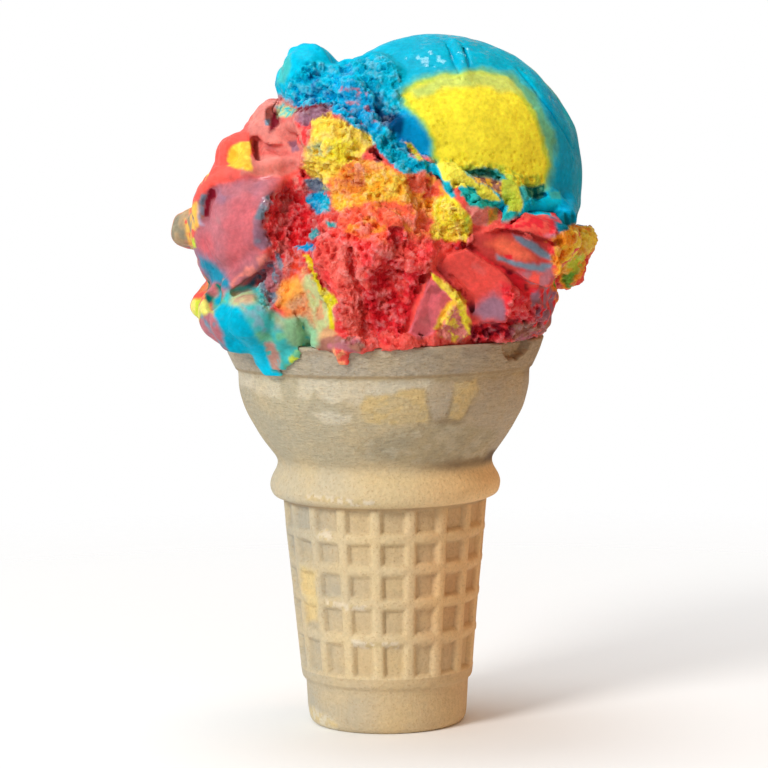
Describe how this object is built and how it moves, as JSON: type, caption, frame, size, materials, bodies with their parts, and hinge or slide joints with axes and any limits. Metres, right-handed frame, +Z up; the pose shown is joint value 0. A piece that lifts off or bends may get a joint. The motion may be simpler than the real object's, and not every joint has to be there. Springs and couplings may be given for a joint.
{
  "type": "ice cream cone",
  "caption": "Flat-bottomed wafer cup with a waffle-patterned stem, filled with swirled ice cream under two scoops pressed together, one dripping over the rim.",
  "frame": {"origin": "middle of the flat underside of the cup's foot", "axes": "+Z up along the cup's axis; the pictured side, with the yellow patch, the red crag and the drip, faces -Y; the upper scoop leans to +X"},
  "size_m": [0.0841, 0.0701, 0.1378],
  "materials": {
    "wafer": "baked wafer, dry and finely pitted",
    "lower_ice_cream": "soft ice cream, coral red swirled with yellow, mauve and blue",
    "upper_ice_cream": "soft ice cream, cyan blue with a yellow patch"
  },
  "bodies": {
    "root": {"wafer_cup": "wafer", "lower_scoop": "lower_ice_cream", "upper_scoop": "upper_ice_cream"}
  },
  "joints": []
}
